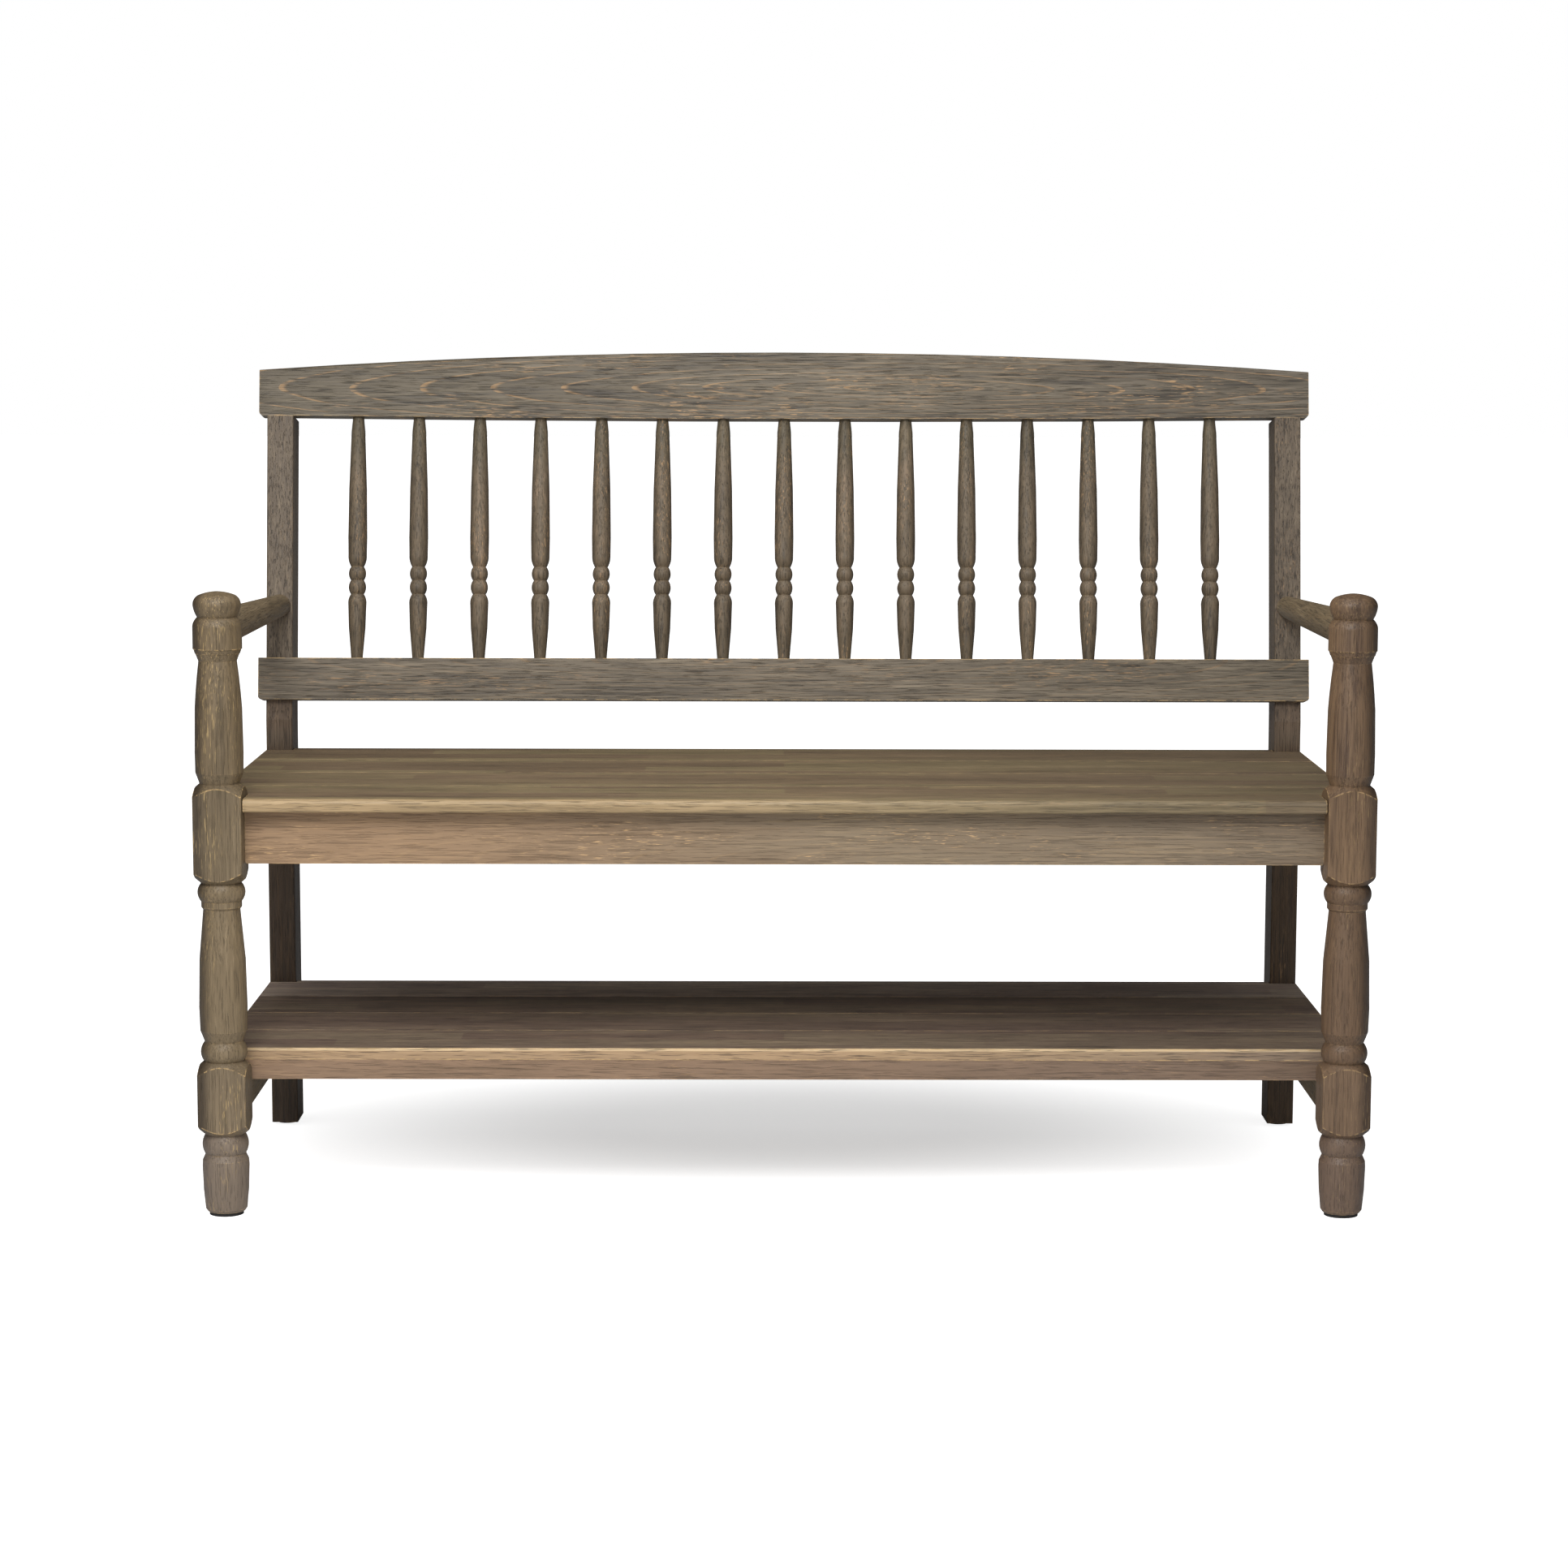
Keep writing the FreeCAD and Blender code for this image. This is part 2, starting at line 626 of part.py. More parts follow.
# Arms, tapered round rods
def arm(side_name, side):
    rod = new_body(f"arm_{side_name}", x=side * front_x)
    rear_local = -side * size.rear_leg_inset
    far = arm_rear_face + CUTTER_MARGIN
    taper = new_sketch(rod, "YZ_Plane", "taper")
    turn = (side * size.rear_leg_inset / far).arctangent()
    taper.AttachmentOffset.Rotation = Rotation(Vector(0, 1, 0), turn.value)
    bind(taper, "AttachmentOffset.Rotation.Angle", turn)
    outline(taper, [
        (0, arm_front_level), (far, arm_rear_level), (far, arm_rear_level + size.arm_rear_diameter / 2),
        (0, arm_front_level + size.arm_front_diameter / 2),
    ])
    revolve(rod, "Revolution", taper, "Edge1")

    # Front end hollowed to the collar, rear end sawn to the raked leg
    saddle = new_sketch(rod, "XY_Plane", "saddle", arm_front_level + size.arm_front_diameter)
    circle(saddle, 0, 0, 2 * (size.collar_radius + size.fit_gap))
    pocket(rod, saddle, 2 * size.arm_front_diameter)
    end_cut = new_sketch(rod, "YZ_Plane", "end_cut")
    reach = size.arm_rear_diameter
    slope = size.leg_rake_angle.tangent()
    outline(end_cut, [
        (arm_rear_face - reach * slope, arm_rear_level - reach),
        (far + reach, arm_rear_level - reach),
        (far + reach, arm_rear_level + reach),
        (arm_rear_face + reach * slope, arm_rear_level + reach),
    ])
    pocket(rod, end_cut, 2 * size.arm_front_diameter, both_ways=True)

    # Round tenons
    front_tenon = new_sketch(rod, "XZ_Plane", "front_tenon", -(size.collar_radius - size.arm_dowel_length))
    circle(front_tenon, 0, arm_front_level, size.arm_dowel_diameter)
    pad(rod, front_tenon, size.arm_dowel_length + CUTTER_MARGIN, flipped=True)
    rear_tenon = new_sketch(rod, "XZ_Plane", "rear_tenon", -(arm_rear_face + size.arm_dowel_length))
    circle(rear_tenon, rear_local, arm_rear_level, size.arm_dowel_diameter)
    pad(rod, rear_tenon, size.arm_dowel_length + CUTTER_MARGIN)


# Back: crest rail, lower back rail and spindles
def spindle_sockets(rail, behind, level, depth, end_radius, flipped=False):
    """Row of round blind holes for the spindle ends."""
    sketch = new_sketch(rail, "XY_Plane", "spindle_socket", level)
    circle(sketch, -spindle_spread / 2, behind, 2 * (end_radius + size.fit_gap))
    first = pocket(rail, sketch, depth + size.fit_gap, flipped=flipped)
    row = rail.newObject("PartDesign::LinearPattern", rail.Name + "_socket_row")
    row.Originals = [first]
    row.Direction = (sketch, ["H_Axis"])
    bind(row, "Length", spindle_spread)
    row.Occurrences = SPINDLE_COUNT
    rail.Tip = row


def crest_rail():
    y, z = on_back(0, 0)
    rail = new_body("crest_rail", y=y, z=z, lean=size.back_lean_angle)
    half = rear_x + rear_half + size.crest_overhang
    between_legs = rear_x - rear_half
    corner = size.crest_corner
    corner_rise = -corner * (1 - math.sqrt(0.5))
    face = new_sketch(rail, "XZ_Plane", "face")
    outline(face, [
        (-half + corner, 0), (-between_legs, 0, -size.crest_belly), (between_legs, 0),
        (half - corner, 0, corner_rise), (half, corner),
        (half, size.crest_end_height, -(size.crest_middle_height - size.crest_end_height)),
        (-half, size.crest_end_height), (-half, corner, corner_rise),
    ])
    board = pad(rail, face, size.crest_thickness, flipped=True)
    top = edges_where(board, lambda middle, run: middle.z > size.crest_middle_height.value - 1)
    soften(rail, "Fillet", board, top, size.crest_round)

    # Slots for the tenons of the rear legs
    slots = new_sketch(rail, "XY_Plane", "post_slots")
    half_width = size.post_tenon_width / 2 + size.fit_gap
    half_depth = size.post_tenon_depth / 2 + size.fit_gap
    for side_name, side in SIDES:
        middle = side * rear_x
        rectangle(
            slots, middle - half_width, middle + half_width,
            spindle_plane - half_depth, spindle_plane + half_depth,
        )
    pocket(rail, slots, size.post_tenon_height + size.fit_gap, flipped=True)
    depth = size.spindle_socket_depth + size.crest_belly
    spindle_sockets(rail, spindle_plane, -size.crest_belly, depth, size.spindle_top_radius, flipped=True)


def lower_back_rail():
    y, z = on_back(back_rail_front, -spindle_length - size.back_rail_height)
    rail = new_body("lower_back_rail", y=y, z=z, lean=size.back_lean_angle)
    half = rear_x + rear_half + size.back_rail_overhang
    corner = size.back_rail_corner
    corner_rise = -corner * (1 - math.sqrt(0.5))
    face = new_sketch(rail, "XZ_Plane", "face")
    outline(face, [
        (-half + corner, 0), (half - corner, 0, corner_rise), (half, corner),
        (half, size.back_rail_height), (-half, size.back_rail_height), (-half, corner, corner_rise),
    ])
    pad(rail, face, size.back_rail_thickness, flipped=True)
    spindle_sockets(
        rail, size.back_rail_thickness / 2, size.back_rail_height,
        size.spindle_socket_depth, size.spindle_end_radius,
    )


def spindle(number):
    y, z = on_back(spindle_plane, -spindle_length)
    x = spindle_spread * (number / (SPINDLE_COUNT - 1) - 0.5)
    body = new_body(f"spindle_{number + 1:02d}", x=x, y=y, z=z, lean=size.back_lean_angle)
    corners, radius, level = turned_corners(SPINDLE_TURNING, size.spindle_end_radius, as_size(0))
    low_end = -size.spindle_socket_depth
    half_view = new_sketch(body, "XZ_Plane", "half_view")
    outline(half_view, [(0, low_end), (size.spindle_end_radius, low_end)] + corners + [
        (radius, level), (radius, level + size.spindle_socket_depth), (0, level + size.spindle_socket_depth),
    ])
    revolve(body, "Revolution", half_view)


# Rails under the seat and the shelf
def rail_along_x(name, x_half, front, thickness, top, height, tenon_length, tenon_top, tenon_height):
    """Rail along the bench with a tenon at each end. The tenon's top lies below the rail's top."""
    rail = new_body(name, y=front, z=top - height)
    block(rail, "bar", x_half, 0, thickness, as_size(0), height)
    low = (thickness - size.tenon_thickness) / 2
    tenon_base = height - tenon_top - tenon_height
    block(rail, "tenons", x_half + tenon_length, low, low + size.tenon_thickness, tenon_base, tenon_height)
    return rail


def rail_along_y(name, x, front, back, thickness, top, height, tenon_length, tenon_top, tenon_height):
    """Rail from front to back with a tenon at each end."""
    rail = new_body(name, x=x, y=front, z=top - height)
    block(rail, "bar", thickness / 2, 0, back - front, as_size(0), height)
    tenon_base = height - tenon_top - tenon_height
    block(
        rail, "tenons", size.tenon_thickness / 2, -tenon_length, back - front + tenon_length,
        tenon_base, tenon_height,
    )
    return rail


def seat_front_apron():
    rail = rail_along_x(
        "seat_front_apron", front_x - leg_half, size.apron_setback, size.seat_rail_thickness,
        seat_under, size.seat_rail_height, size.tenon_length, size.tenon_shoulder, size.tenon_height,
    )
    tenoned = rail.Tip

    def is_lower_corner(middle, run):
        at_end = near(abs(middle.x), (front_x - leg_half).value)
        return at_end and near(middle.z, 0)

    soften(rail, "Fillet", tenoned, edges_where(tenoned, is_lower_corner), size.apron_corner)
    cross_slot(rail, "centre_slot", size.seat_rail_thickness, 1, seat_slot_top(), size.tenon_height)


def seat_slot_top():
    """Top of the centre rail's tenon, above the base of a seat rail."""
    return size.tenon_shoulder + size.tenon_height


def cross_slot(rail, name, thickness, facing, top, height):
    """Stub mortise in the middle of a long rail, in its back face or its front face."""
    half_slot = size.tenon_thickness / 2 + size.fit_gap
    depth = size.stub_tenon_length + size.fit_gap
    if facing > 0:
        low, high = thickness - depth, thickness + CUTTER_MARGIN
    else:
        low, high = as_size(-CUTTER_MARGIN), depth
    mortise(rail, name, -half_slot, half_slot, low, high, top, height)


def seat_back_rail():
    rail = rail_along_x(
        "seat_back_rail", rear_x - rear_half, seat_rear - size.seat_rail_thickness,
        size.seat_rail_thickness, seat_under, size.seat_rail_height,
        size.tenon_length, size.tenon_shoulder, size.tenon_height,
    )
    cross_slot(rail, "centre_slot", size.seat_rail_thickness, -1, seat_slot_top(), size.tenon_height)


def seat_side_rail(side_name, side):
    low_tenon = size.seat_rail_height - size.tenon_shoulder - size.tenon_height
    rail_along_y(
        f"seat_side_rail_{side_name}", side * rear_x, leg_half, rear_face, size.seat_rail_thickness,
        seat_under, size.seat_rail_height, size.tenon_length, low_tenon, size.tenon_height,
    )


def seat_centre_rail():
    low_tenon = size.seat_rail_height - size.tenon_shoulder - size.tenon_height
    rail_along_y(
        "seat_centre_rail", 0, size.apron_setback + size.seat_rail_thickness,
        seat_rear - size.seat_rail_thickness, size.seat_rail_thickness,
        seat_under, size.seat_rail_height, size.stub_tenon_length, low_tenon, size.tenon_height,
    )


def shelf_side_rail(side_name, side):
    middle_tenon = (size.shelf_side_rail_height - size.tenon_height) / 2
    rail = rail_along_y(
        f"shelf_side_rail_{side_name}", side * rear_x, leg_half, rear_face, size.shelf_rail_thickness,
        shelf_under, size.shelf_side_rail_height, size.tenon_length, middle_tenon, size.tenon_height,
    )
    half_slot = size.tenon_thickness / 2 + size.fit_gap
    inner_face = size.shelf_rail_thickness / 2
    slot_end = inner_face - size.stub_tenon_length - size.fit_gap
    slot_top = size.shelf_side_rail_height - size.stub_tenon_shoulder
    for name, front in (("front_slot", shelf_front), ("back_slot", shelf_back_rail_front())):
        middle = front + size.shelf_rail_thickness / 2 - leg_half
        mortise(
            rail, name, -side * slot_end, -side * (inner_face + CUTTER_MARGIN),
            middle - half_slot, middle + half_slot, slot_top, size.stub_tenon_height,
        )


def shelf_back_rail_front():
    return rear_face - size.shelf_back_rail_gap - size.shelf_rail_thickness


def shelf_long_rail(name, front, facing):
    rail = rail_along_x(
        name, rear_x - size.shelf_rail_thickness / 2, front, size.shelf_rail_thickness,
        shelf_under, size.shelf_rail_height, size.stub_tenon_length,
        size.stub_tenon_shoulder, size.stub_tenon_height,
    )
    slot_top = size.shelf_rail_height - size.stub_tenon_shoulder
    cross_slot(rail, "centre_slot", size.shelf_rail_thickness, facing, slot_top, size.stub_tenon_height)


def shelf_centre_batten():
    rail_along_y(
        "shelf_centre_batten", 0, shelf_front + size.shelf_rail_thickness, shelf_back_rail_front(),
        size.shelf_rail_thickness, shelf_under, size.shelf_rail_height,
        size.stub_tenon_length, size.stub_tenon_shoulder, size.stub_tenon_height,
    )


# Boards of the seat and the shelf
def board_row(name, count, front, back, under, thickness):
    """Boards side by side from front to back, notched where they meet a leg."""
    width = (back - front - (count - 1) * size.board_gap) / count
    front_notch = front_x - leg_half - size.notch_gap
    rear_notch = rear_x - rear_half - size.notch_gap
    notch_back = leg_half + size.notch_gap
    notch_front = rear_face - size.notch_gap
    for number in range(count):
        start = front + number * (width + size.board_gap)
        end = start + width
        board = new_body(f"{name}_{number + 1}", z=under)
        plan = new_sketch(board, "XY_Plane", "plan")
        corners = [(board_half, start), (board_half, end)]
        if start.value < notch_back.value < end.value:
            corners = [(front_notch, start), (front_notch, notch_back), (board_half, notch_back), corners[-1]]
        if start.value < notch_front.value < end.value:
            corners = corners[:-1] + [(board_half, notch_front), (rear_notch, notch_front), (rear_notch, end)]
        outline(plan, corners + [(-x, y) for x, y in reversed(corners)])
        plank = pad(board, plan, thickness)
        yield board, plank, start, end


def seat_boards():
    rows = board_row("seat_board", SEAT_BOARD_COUNT, seat_front, seat_rear, seat_under, size.seat_thickness)
    for board, plank, start, end in rows:
        if near(start.value, seat_front.value):
            plank = round_nose(board, plank, start)
        bevel_joints(board, plank, start, end, size.seat_thickness)


def shelf_boards():
    thickness = size.shelf_thickness
    rows = board_row("shelf_board", SHELF_BOARD_COUNT, shelf_front, shelf_rear, shelf_under, thickness)
    for board, plank, start, end in rows:
        bevel_joints(board, plank, start, end, thickness)


def round_nose(board, plank, start):
    def front_edge_at(level):
        return lambda middle, run: (
            near(middle.y, start.value) and near(middle.z, level.value) and runs_along_bench(run)
        )

    top_edge = edges_where(plank, front_edge_at(size.seat_thickness))
    top = soften(board, "Fillet", plank, top_edge, size.seat_nose_top_round)
    under_edge = edges_where(top, front_edge_at(as_size(0)))
    return soften(board, "Fillet", top, under_edge, size.seat_nose_under_round)


def bevel_joints(board, plank, start, end, thickness):
    def is_joint_edge(middle, run):
        at_joint = near(middle.y, start.value) or near(middle.y, end.value)
        return at_joint and near(middle.z, thickness.value) and runs_along_bench(run)

    soften(board, "Chamfer", plank, edges_where(plank, is_joint_edge), size.board_bevel)


# Foot glides, turned discs with a pin
def glide(name, x, y, diameter):
    foot = new_body(name, x=x, y=y)
    radius = diameter / 2
    pin = size.glide_pin_diameter / 2
    half_view = new_sketch(foot, "XZ_Plane", "half_view")
    outline(half_view, [
        (0, 0), (radius, 0), (radius, size.glide_thickness), (pin, size.glide_thickness),
        (pin, size.glide_thickness + size.glide_pin_length),
        (0, size.glide_thickness + size.glide_pin_length),
    ])
    revolve(foot, "Revolution", half_view)


def check_model():
    """Every object is sound, and every cut has taken something away."""
    doc.recompute()
    for thing in doc.Objects:
        if "Invalid" in thing.State or "Error" in thing.State:
            raise RuntimeError(f"{thing.Name} failed: {thing.State}")
        if thing.TypeId in ("PartDesign::Pocket", "PartDesign::Groove"):
            if thing.Shape.Volume >= thing.BaseFeature.Shape.Volume - 1:
                raise RuntimeError(f"{thing.Name} cuts nothing")
    for body in parts:
        if body.Shape.isNull() or not body.Shape.isValid():
            raise RuntimeError(f"{body.Label} has no valid shape")
        if len(body.Shape.Solids) != 1:
            raise RuntimeError(f"{body.Label} is {len(body.Shape.Solids)} solids")


for side_name, side in SIDES:
    front_leg(side_name, side)
    rear_leg(side_name, side)
    arm(side_name, side)
crest_rail()
lower_back_rail()
for number in range(SPINDLE_COUNT):
    spindle(number)
seat_front_apron()
seat_back_rail()
seat_centre_rail()
shelf_long_rail("shelf_front_rail", shelf_front, 1)
shelf_long_rail("shelf_back_rail", shelf_back_rail_front(), -1)
shelf_centre_batten()
for side_name, side in SIDES:
    seat_side_rail(side_name, side)
    shelf_side_rail(side_name, side)
    glide(f"front_glide_{side_name}", side * front_x, as_size(0), size.front_glide_diameter)
    rear_middle = rear_face + size.rear_leg_depth / 2
    glide(f"rear_glide_{side_name}", side * rear_x, rear_middle, size.rear_glide_diameter)
seat_boards()
shelf_boards()
check_model()

os.makedirs("parts", exist_ok=True)
for body in parts:
    body.Shape.exportStep(f"parts/{body.Label}.step")
print(f"{len(parts)} parts, volume {sum(body.Shape.Volume for body in parts) / 1e9:.5f} cubic metres")
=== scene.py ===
import math

import bpy
from mathutils import Matrix, Vector


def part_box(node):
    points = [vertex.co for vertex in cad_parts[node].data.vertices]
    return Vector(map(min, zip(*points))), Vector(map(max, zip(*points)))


# The looks of a deacons bench: a grey-brown rubbed stain over open-grained wood, worn through to pale timber
# on its edges. Lengths are in metres, colours are written as 0 to 255 values of a screen.

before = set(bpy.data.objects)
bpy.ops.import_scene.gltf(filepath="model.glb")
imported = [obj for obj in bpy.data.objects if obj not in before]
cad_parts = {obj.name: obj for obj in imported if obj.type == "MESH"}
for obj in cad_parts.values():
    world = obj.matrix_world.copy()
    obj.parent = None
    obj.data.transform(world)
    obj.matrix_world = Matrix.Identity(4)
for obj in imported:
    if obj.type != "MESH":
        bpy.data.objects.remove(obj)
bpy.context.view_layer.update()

PALE_WOOD = (214, 178, 122)
RAW_WOOD = (186, 148, 104)
# Colour of the painted shade in grooves and corners
GROOVE_SHADE = (140, 128, 116)
WORLD_LIGHT = (0.05, 0.75)

# Grain and wear
RINGS_PER_METRE = 185.0
RING_SLIMNESS = 0.062
RING_WOBBLE = 0.010
STRIP_STAGGER = 0.618
STRIP_HUES = (0.490, 0.508)
STRIP_LIGHTNESS = (0.88, 1.10)
STAIN_END = 0.6
GRAIN_DEPTH = 0.0005
GROOVE_REACH = 0.008
EDGE_REACH = 0.0022

# Camera, from the lines of the photograph. The focal length and the picture's width are in its pixels.
CAMERA_PLACE = Vector((-0.0172, -4.2747, 0.9868))
CAMERA_DOWN = math.radians(7.0956)
CAMERA_LEFT = math.radians(-0.2276)
CAMERA_ROLL = math.radians(0.1317)
FOCAL_PIXELS = 4481.4
PICTURE_WIDTH = 1932.0


def paint(colour):
    """Screen colour as the linear colour that shaders use."""
    linear = []
    for channel in colour:
        share = channel / 255
        linear.append(share / 12.92 if share <= 0.04045 else ((share + 0.055) / 1.055) ** 2.4)
    return (*linear, 1.0)


class Finish:
    """A material under construction, with one short method for each kind of shader node it uses."""

    def __init__(self, name):
        self.material = bpy.data.materials.new(name)
        self.material.use_nodes = True
        self.tree = self.material.node_tree
        self.surface = self.tree.nodes["Principled BSDF"]

    def feed(self, socket, value):
        if isinstance(value, bpy.types.NodeSocket):
            self.tree.links.new(value, socket)
        else:
            socket.default_value = value

    def node(self, kind, **settings):
        node = self.tree.nodes.new("ShaderNode" + kind)
        for name, value in settings.items():
            setattr(node, name, value)
        return node

    def maths(self, operation, first, second=0.0):
        node = self.node("Math", operation=operation)
        self.feed(node.inputs[0], first)
        self.feed(node.inputs[1], second)
        return node.outputs[0]

    def vector(self, operation, first, second):
        node = self.node("VectorMath", operation=operation)
        self.feed(node.inputs[0], first)
        self.feed(node.inputs[1], second)
        return node.outputs["Value" if operation == "DOT_PRODUCT" else "Vector"]

    def spread(self, value, low, high, to_low=0.0, to_high=1.0):
        node = self.node("MapRange", interpolation_type="SMOOTHSTEP")
        for socket, setting in zip(node.inputs, (value, low, high, to_low, to_high)):
            self.feed(socket, setting)
        return node.outputs[0]

    def noise(self, place, stretch, detail=3.0, rough=0.55, twist=0.0):
        node = self.node("TexNoise")
        self.feed(node.inputs["Vector"], self.vector("MULTIPLY", place, stretch))
        self.feed(node.inputs["Scale"], 1.0)
        self.feed(node.inputs["Detail"], detail)
        self.feed(node.inputs["Roughness"], rough)
        self.feed(node.inputs["Distortion"], twist)
        return node.outputs[0]

    def parts_of(self, place):
        node = self.node("SeparateXYZ")
        self.feed(node.inputs[0], place)
        return node.outputs

    def blend(self, share, below, above, kind="MIX"):
        node = self.node("Mix", data_type="RGBA", blend_type=kind)
        self.feed(node.inputs[0], share)
        self.feed(node.inputs[6], below)
        self.feed(node.inputs[7], above)
        return node.outputs[2]

    def place_along(self, grain, middle, seed, lean):
        """Coordinates from the piece's middle with X along the grain: as they are, and shifted by the seed so
        that no two pieces match."""
        shifted = self.vector("SUBTRACT", self.node("TexCoord").outputs["Object"], tuple(middle))
        turned = self.node("Mapping")
        turned.inputs["Rotation"].default_value = {
            "x": (lean, 0.0, 0.0), "y": (0.0, 0.0, -math.pi / 2), "z": (0.0, math.pi / 2, 0.0),
        }[grain]
        self.feed(turned.inputs["Vector"], shifted)
        return turned.outputs[0], self.vector("ADD", turned.outputs[0], (seed * 3.7, seed * 1.3, seed * 2.1))

    def openness(self):
        """1 on open faces and less in corners and turned grooves."""
        shelter = self.node("AmbientOcclusion", samples=6, only_local=True)
        shelter.inputs["Distance"].default_value = GROOVE_REACH
        return shelter.outputs["AO"]

    def edge_wear(self, openness):
        """1 on outward edges and 0 on faces and in corners."""
        bevel = self.node("Bevel", samples=6)
        bevel.inputs["Radius"].default_value = EDGE_REACH
        normal = self.node("NewGeometry").outputs["Normal"]
        turn = self.vector("DOT_PRODUCT", bevel.outputs[0], normal)
        return self.maths("MULTIPLY", self.spread(turn, 0.992, 0.93), self.spread(openness, 0.80, 0.95))


def stain_and_painted_light(axis, start, stop, fade, colour, share=1.0, kind="MULTIPLY", reach=None):
    """A band of colour between two places along an axis of a piece, from its middle, with soft ends. Bands
    serve for the wood's own stains and for painted light and shade. MULTIPLY darkens the wood and MIX covers
    it. With a reach, the band also thins out along the grain past that place."""
    return axis, start, stop, fade, colour, share, kind, reach


def ring_wave(finish, flat, place, along, across):
    """Arched grain: a saw wave of the distance from a place on the board, drawn out along the grain."""
    x, _, z = finish.parts_of(flat)
    wobble = finish.maths("MULTIPLY", finish.noise(place, (4.0, 30.0, 30.0), detail=2.0), RING_WOBBLE)
    reach = finish.maths("MULTIPLY", finish.maths("SUBTRACT", x, along), RING_SLIMNESS)
    side = finish.maths("ADD", finish.maths("SUBTRACT", z, across), wobble)
    squares = finish.maths("ADD", finish.maths("POWER", reach, 2.0), finish.maths("POWER", side, 2.0))
    return finish.maths("FRACT", finish.maths("MULTIPLY", finish.maths("SQRT", squares), RINGS_PER_METRE))


def glued_strips(finish, colour, flat, length, width, seed):
    """Colour of a board whose glued strips each differ a little in hue and lightness."""
    x, y, _ = finish.parts_of(flat)
    row = finish.maths("FLOOR", finish.maths("DIVIDE", y, width))
    stagger = finish.maths("FRACT", finish.maths("MULTIPLY", row, STRIP_STAGGER))
    column = finish.maths("FLOOR", finish.maths("ADD", finish.maths("DIVIDE", x, length), stagger))
    cell = finish.node("CombineXYZ")
    for socket, value in zip(cell.inputs, (row, column, seed)):
        finish.feed(socket, value)
    chance = finish.node("TexWhiteNoise")
    finish.feed(chance.inputs["Vector"], cell.outputs[0])
    strip = finish.node("HueSaturation")
    finish.feed(strip.inputs["Hue"], finish.spread(chance.outputs["Value"], 0.0, 1.0, *STRIP_HUES))
    finish.feed(strip.inputs["Value"], finish.spread(chance.outputs["Value"], 0.0, 1.0, *STRIP_LIGHTNESS))
    finish.feed(strip.inputs["Color"], colour)
    return strip.outputs[0]


def under_stains_and_painted_light(finish, colour, flat, cloud, shade):
    """Colour under a list of stains and of painted light and shade, each a little uneven. Axis front_top
    grows to a front upper edge.
    """
    x, y, z = finish.parts_of(flat)
    axes = {"x": x, "y": y, "z": z, "front_top": finish.maths("SUBTRACT", z, y)}
    for axis, start, stop, fade, tint, share, kind, reach in shade:
        begun = finish.spread(axes[axis], start - fade, start, 0.0, share)
        amount = finish.maths("MULTIPLY", begun, finish.spread(axes[axis], stop + fade, stop))
        if reach is not None:
            amount = finish.maths("MULTIPLY", amount, finish.spread(x, reach + STAIN_END, reach))
        patchy = finish.maths("MULTIPLY", amount, finish.spread(cloud, 0.30, 0.62, 0.75, 1.0))
        colour = finish.blend(patchy, colour, paint(tint), kind=kind)
    return colour


def shaded_and_worn(finish, colour, place, wear):
    """Colour with painted shade in grooves and corners, and with edges worn to pale wood."""
    openness = finish.openness()
    # Painted shade: darker where the surface is sheltered, in grooves and corners.
    painted_groove_shade = finish.spread(openness, 0.85, 0.40, 0.0, 0.75)
    colour = finish.blend(painted_groove_shade, colour, paint(GROOVE_SHADE), kind="MULTIPLY")
    broken = finish.spread(finish.noise(place, (60.0, 200.0, 200.0), detail=3.0, rough=0.65), 0.44, 0.60)
    worn = finish.maths("MULTIPLY", finish.maths("MULTIPLY", finish.edge_wear(openness), broken), wear)
    return finish.blend(worn, colour, paint(PALE_WOOD))


def add_relief(finish, streak, pore):
    """Fine raised grain with sunk pores."""
    bump = finish.node("Bump")
    bump.inputs["Strength"].default_value = 0.7
    bump.inputs["Distance"].default_value = GRAIN_DEPTH
    height = finish.maths("SUBTRACT", streak, finish.maths("MULTIPLY", pore, 0.9))
    finish.feed(bump.inputs["Height"], height)
    finish.feed(finish.surface.inputs["Normal"], bump.outputs[0])


def dress(node, material):
    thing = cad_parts[node]
    thing.data.materials.clear()
    thing.data.materials.append(material)


